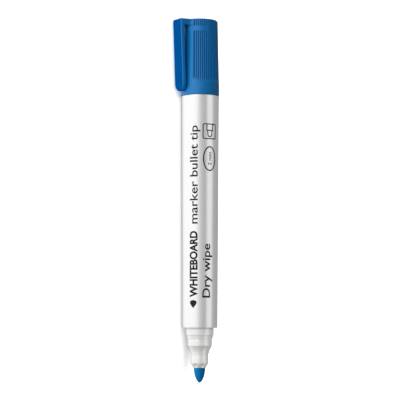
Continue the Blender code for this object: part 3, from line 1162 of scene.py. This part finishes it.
class Sky:
    """The studio's soft light: long panels beside the pen, each at its own elevation round it.

    An elevation of 0 degrees is in front of the pen, on the -Y side, and 90 is straight above.
    """

    def __init__(self):
        world = bpy.data.worlds.new("studio")
        world.use_nodes = True
        self.tree = world.node_tree
        self.direction = self.node("ShaderNodeTexCoord").outputs["Generated"]
        self.strength = None
        bpy.context.scene.world = world

    def node(self, kind, operation=None, *values):
        made = self.tree.nodes.new(kind)
        if operation:
            made.operation = operation
        for socket, value in zip(made.inputs, values):
            if isinstance(value, bpy.types.NodeSocket):
                self.tree.links.new(value, socket)
            else:
                socket.default_value = value
        return made

    def fade(self, source, start, end, low, high, curve="SMOOTHSTEP"):
        made = self.node("ShaderNodeMapRange", None, source, start, end, low, high)
        made.interpolation_type = curve
        return made.outputs["Result"]

    def panel(self, elevation, core, edge, level):
        """Full level up to core degrees from its elevation, fading out by edge degrees."""
        across = self.node("ShaderNodeVectorMath", "MULTIPLY", self.direction, (0, 1, 1))
        unit = self.node("ShaderNodeVectorMath", "NORMALIZE", across.outputs["Vector"])
        towards = (0, -cos(radians(elevation)), sin(radians(elevation)))
        lean = self.node("ShaderNodeVectorMath", "DOT_PRODUCT", unit.outputs["Vector"], towards)
        away = self.node("ShaderNodeMath", "ARCCOSINE", lean.outputs["Value"])
        light = self.fade(away.outputs["Value"], radians(core), radians(edge), level, 0.0)
        total = self.node("ShaderNodeMath", "ADD", light, self.strength or SKY_FLOOR)
        self.strength = total.outputs["Value"]

    def finish(self, cap_side, nib_side):
        """Scales the light from end to end, dims it past the pen's ends, and joins it up."""
        parts = self.node("ShaderNodeSeparateXYZ", None, self.direction)
        share = self.fade(parts.outputs["X"], -1.0, 1.0, cap_side, nib_side, "LINEAR")
        sideways = self.node("ShaderNodeMath", "ABSOLUTE", parts.outputs["X"])
        ends = self.fade(sideways.outputs["Value"], 0.4, 0.85, 1.0, 0.4)
        shared = self.node("ShaderNodeMath", "MULTIPLY", share, ends)
        scaled = self.node("ShaderNodeMath", "MULTIPLY", self.strength, shared.outputs["Value"])
        background = self.tree.nodes["Background"]
        background.inputs["Color"].default_value = (1, 1, 1, 1)
        self.tree.links.new(scaled.outputs["Value"], background.inputs["Strength"])


def limit_light(lamp, receivers):
    """Lets the lamp light only the receivers."""
    lit = bpy.data.collections.new("lit_by_" + lamp.name)
    for piece in receivers:
        lit.objects.link(piece)
    lamp.light_linking.receiver_collection = lit


def make_lights(table, pale_pieces):
    """Soft panels light the pen, and a lamp of its own makes the table white.

    Three lamps light only the pale pieces, to give the barrel its two bright lines and the dark
    one between them.
    """
    sky = Sky()
    sky.panel(-38, 40, 102, 1.16)
    sky.panel(72, 6, 48, 0.12)
    sky.panel(168, 25, 70, 0.1)
    sky.finish(1.38, 0.76)
    softbox("key_panel", -6, -48, 1.2, 1.0, 0.9, 6)
    limit_light(softbox("top_panel", 98, 0, 1.2, 0.95, 2.4, 6.4), pale_pieces)
    limit_light(softbox("back_panel", 160, 0, 1.2, 1.7, 2.4, 2.4), pale_pieces)
    limit_light(softbox("fill_panel", 57, 0, 1.2, 0.6, 2.4, 0.75), pale_pieces)
    limit_light(softbox("table_panel", 70, 0, 1.6, 2.4, 2.4, 60), [table])
    table.visible_diffuse = False
    table.visible_glossy = False


def make_camera():
    """Looks square at the pen from 60 degrees round from the clip, a little from the nib's side."""
    distance = 775.2 * MM
    lean = radians(4.5)
    aim_station = 74.72 * MM
    roll = radians(0.123)
    target = Vector((NIB_POINT_X - aim_station, AXIS_Y, AXIS_Z))
    square = TO_CLIP * cos(VIEW_ANGLE) + ACROSS * sin(VIEW_ANGLE)
    back = square * cos(lean) - PEN_AXIS * sin(lean)
    data = bpy.data.cameras.new("camera")
    data.sensor_width = 36
    data.lens = 169.9
    data.shift_x = 0.0003
    data.clip_start, data.clip_end = 0.01, 20
    camera = bpy.data.objects.new("camera", data)
    bpy.context.scene.collection.objects.link(camera)
    up = (PEN_AXIS - back * PEN_AXIS.dot(back)).normalized()
    right = up.cross(back)
    turn = Matrix((right, up, back)).transposed().to_4x4() @ Matrix.Rotation(roll, 4, "Z")
    camera.matrix_world = Matrix.Translation(target + back * distance) @ turn
    bpy.context.scene.camera = camera


def main():
    make_camera()
    white = white_finish()
    blue = blue_finish()
    make_barrel(pearl_finish())
    make_nib(felt_finish())
    make_nib_holder(white)
    make_end_plug(blue)
    make_inner_cap(white)
    make_cap(blue)
    make_print(ink_finish())
    paint(frame["nodes"]["ink_reservoir"], fibre_finish())
    paint(frame["nodes"]["reservoir_film"], film_finish())
    pale_pieces = [bpy.data.objects[name] for name in ("barrel_tube", "nib_holder_body")]
    make_lights(make_table(table_finish()), pale_pieces)
    bpy.context.scene.view_settings.view_transform = "Standard"


main()
